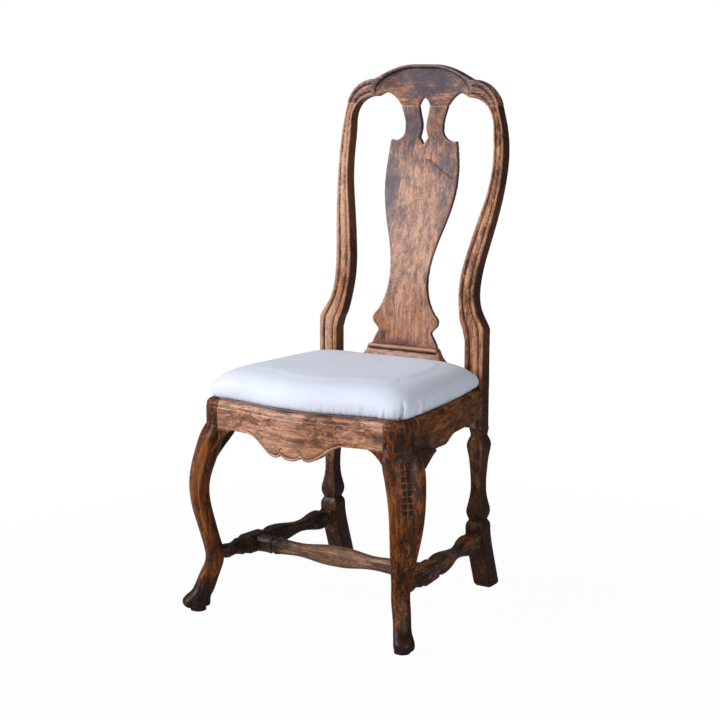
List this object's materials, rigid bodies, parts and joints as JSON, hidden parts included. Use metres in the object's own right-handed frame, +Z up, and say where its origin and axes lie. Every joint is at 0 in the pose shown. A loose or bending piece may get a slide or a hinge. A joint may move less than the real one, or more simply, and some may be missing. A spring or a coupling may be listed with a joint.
{
  "type": "side chair",
  "caption": "Rococo side chair in worn stained wood with a pierced vase splat, cabriole front legs, carved stretchers and a white drop-in seat.",
  "frame": {"origin": "on the floor, under the middle of the overall box", "axes": "+Z up, the sitter faces -Y, +X to the right as seen from the front"},
  "size_m": [0.5352, 0.5225, 1.07],
  "materials": {
    "stained_wood": "worn dark stain, dull sheen",
    "raw_wood": "unfinished, darkened with age",
    "peg_wood": "end grain, dark stain",
    "webbing": "woven jute",
    "hessian": "coarse weave",
    "stuffing": "loose fibre",
    "muslin": "plain white cotton"
  },
  "bodies": {
    "frame": {"crest_rail": "stained_wood", "rear_post_left": "stained_wood", "rear_post_right": "stained_wood", "splat": "stained_wood", "splat_shoe": "stained_wood", "front_seat_rail": "stained_wood", "side_seat_rail_left": "stained_wood", "side_seat_rail_right": "stained_wood", "rear_seat_rail": "stained_wood", "front_leg_left": "stained_wood", "front_leg_right": "stained_wood", "knee_bracket_front_left": "stained_wood", "knee_bracket_front_right": "stained_wood", "knee_bracket_side_left": "stained_wood", "knee_bracket_side_right": "stained_wood", "side_stretcher_left": "stained_wood", "side_stretcher_right": "stained_wood", "medial_stretcher": "stained_wood", "corner_block_front_left": "raw_wood", "corner_block_front_right": "raw_wood", "corner_block_rear_left": "raw_wood", "corner_block_rear_right": "raw_wood", "front_joint_pegs": "peg_wood", "side_joint_pegs": "peg_wood", "heel_joint_pegs": "peg_wood"},
    "seat": {"seat_frame_front": "raw_wood", "seat_frame_rear": "raw_wood", "seat_frame_left": "raw_wood", "seat_frame_right": "raw_wood", "webbing_straps": "webbing", "hessian_base": "hessian", "seat_stuffing": "stuffing", "seat_cover": "muslin"}
  },
  "joints": [
    {"name": "seat_lift", "type": "slide", "parent": "frame", "child": "seat", "axis": [0, 0, 1], "range_m": [0, 0.12]}
  ]
}
